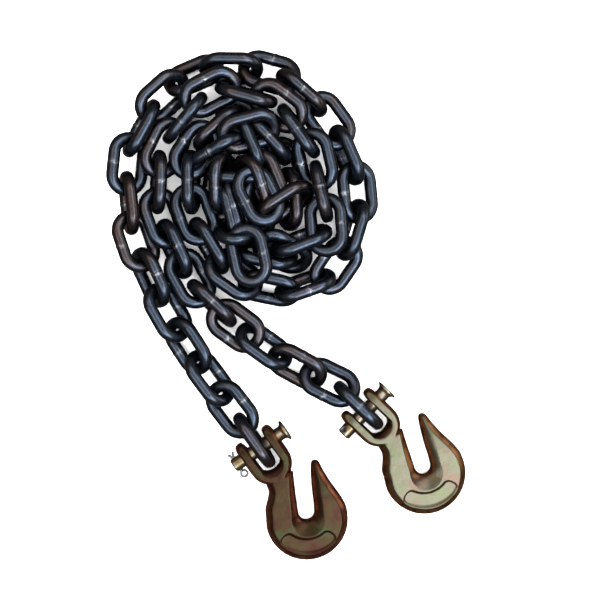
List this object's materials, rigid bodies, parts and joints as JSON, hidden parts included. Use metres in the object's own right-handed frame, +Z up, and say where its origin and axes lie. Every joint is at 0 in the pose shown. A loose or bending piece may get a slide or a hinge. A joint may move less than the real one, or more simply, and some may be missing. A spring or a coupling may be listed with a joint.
{
  "type": "load binder chain",
  "caption": "Welded link chain laid folded and coiled on the ground, with a clevis grab hook pinned to each end.",
  "frame": {"origin": "centre of the laid chain's box, on the surface that it lies on", "axes": "+Z up from the surface, +Y from the hooks towards the coil's far side, +X to the right of that"},
  "size_m": [0.2798, 0.3992, 0.0418],
  "materials": {
    "black_steel": "black oxide, semi-gloss",
    "gold_zinc": "yellow chromate over a forged skin",
    "pin_zinc": "bright zinc"
  },
  "bodies": {
    "coil": {"link_a07": "black_steel", "link_a08": "black_steel", "link_a09": "black_steel", "link_a10": "black_steel", "link_a11": "black_steel", "link_a12": "black_steel", "link_a13": "black_steel", "link_a14": "black_steel", "link_a15": "black_steel", "link_a16": "black_steel", "link_a17": "black_steel", "link_a18": "black_steel", "link_a19": "black_steel", "link_a20": "black_steel", "link_a21": "black_steel", "link_a22": "black_steel", "link_a23": "black_steel", "link_a24": "black_steel", "link_a25": "black_steel", "link_a26": "black_steel", "link_a27": "black_steel", "link_a28": "black_steel", "link_a29": "black_steel", "link_a30": "black_steel", "link_a31": "black_steel", "link_a32": "black_steel", "link_b07": "black_steel", "link_b08": "black_steel", "link_b09": "black_steel", "link_b10": "black_steel", "link_b11": "black_steel", "link_b12": "black_steel", "link_b13": "black_steel", "link_b14": "black_steel", "link_b15": "black_steel", "link_b16": "black_steel", "link_b17": "black_steel", "link_b18": "black_steel", "link_b19": "black_steel", "link_b20": "black_steel", "link_b21": "black_steel", "link_b22": "black_steel"},
    "tail_a06": {"link_a06": "black_steel"},
    "tail_a05": {"link_a05": "black_steel"},
    "tail_a04": {"link_a04": "black_steel"},
    "tail_a03": {"link_a03": "black_steel"},
    "tail_a02": {"link_a02": "black_steel"},
    "tail_a01": {"link_a01": "black_steel"},
    "hook_a": {"grab_hook_a": "gold_zinc"},
    "pin_a": {"clevis_pin_a": "pin_zinc", "cotter_pin_a": "pin_zinc"},
    "tail_b06": {"link_b06": "black_steel"},
    "tail_b05": {"link_b05": "black_steel"},
    "tail_b04": {"link_b04": "black_steel"},
    "tail_b03": {"link_b03": "black_steel"},
    "tail_b02": {"link_b02": "black_steel"},
    "tail_b01": {"link_b01": "black_steel"},
    "hook_b": {"grab_hook_b": "gold_zinc"},
    "pin_b": {"clevis_pin_b": "pin_zinc", "cotter_pin_b": "pin_zinc"}
  },
  "joints": [
    {"name": "swing_a06", "type": "hinge", "parent": "coil", "child": "tail_a06", "pos_m": [-0.11204, 0.0354, 0.01553], "axis": [0, 0, 1], "range_deg": [-10, 2]},
    {"name": "swing_a05", "type": "hinge", "parent": "tail_a06", "child": "tail_a05", "pos_m": [-0.09972, 0.00764, 0.01453], "axis": [0, 0, 1], "range_deg": [-12, 7]},
    {"name": "swing_a04", "type": "hinge", "parent": "tail_a05", "child": "tail_a04", "pos_m": [-0.08527, -0.01908, 0.01385], "axis": [0, 0, 1], "range_deg": [-10, 7]},
    {"name": "swing_a03", "type": "hinge", "parent": "tail_a04", "child": "tail_a03", "pos_m": [-0.06889, -0.04468, 0.01387], "axis": [0, 0, 1], "range_deg": [-12, 7]},
    {"name": "swing_a02", "type": "hinge", "parent": "tail_a03", "child": "tail_a02", "pos_m": [-0.05147, -0.06923, 0.01495], "axis": [0, 0, 1], "range_deg": [-8, 7]},
    {"name": "swing_a01", "type": "hinge", "parent": "tail_a02", "child": "tail_a01", "pos_m": [-0.03405, -0.09323, 0.0163], "axis": [0, 0, 1], "range_deg": [-7, 8]},
    {"name": "hook_a_lift", "type": "hinge", "parent": "tail_a01", "child": "hook_a", "pos_m": [-0.02116, -0.11126, 0.017], "axis": [-0.8192, -0.5736, 0], "range_deg": [0, 60]},
    {"name": "pin_a_spin", "type": "hinge", "parent": "hook_a", "child": "pin_a", "pos_m": [-0.02116, -0.11126, 0.017], "axis": [-0.8192, -0.5736, 0], "continuous": true},
    {"name": "swing_b06", "type": "hinge", "parent": "coil", "child": "tail_b06", "pos_m": [-0.06696, 0.01112, 0.01621], "axis": [0, 0, 1], "range_deg": [-7, 1.5]},
    {"name": "swing_b05", "type": "hinge", "parent": "tail_b06", "child": "tail_b05", "pos_m": [-0.0492, -0.00749, 0.01584], "axis": [0, 0, 1], "range_deg": [-5, 10]},
    {"name": "swing_b04", "type": "hinge", "parent": "tail_b05", "child": "tail_b04", "pos_m": [-0.02892, -0.02413, 0.01455], "axis": [0, 0, 1], "range_deg": [-7, 7]},
    {"name": "swing_b03", "type": "hinge", "parent": "tail_b04", "child": "tail_b03", "pos_m": [-0.00505, -0.04001, 0.01348], "axis": [0, 0, 1], "range_deg": [-7, 10]},
    {"name": "swing_b02", "type": "hinge", "parent": "tail_b03", "child": "tail_b02", "pos_m": [0.02053, -0.05428, 0.01327], "axis": [0, 0, 1], "range_deg": [-7, 8]},
    {"name": "swing_b01", "type": "hinge", "parent": "tail_b02", "child": "tail_b01", "pos_m": [0.04446, -0.06933, 0.0154], "axis": [0, 0, 1], "range_deg": [-7, 5.5]},
    {"name": "hook_b_lift", "type": "hinge", "parent": "tail_b01", "child": "hook_b", "pos_m": [0.06092, -0.08334, 0.017], "axis": [-0.6947, -0.7193, 0], "range_deg": [0, 60]},
    {"name": "pin_b_spin", "type": "hinge", "parent": "hook_b", "child": "pin_b", "pos_m": [0.06092, -0.08334, 0.017], "axis": [-0.6947, -0.7193, 0], "continuous": true}
  ]
}
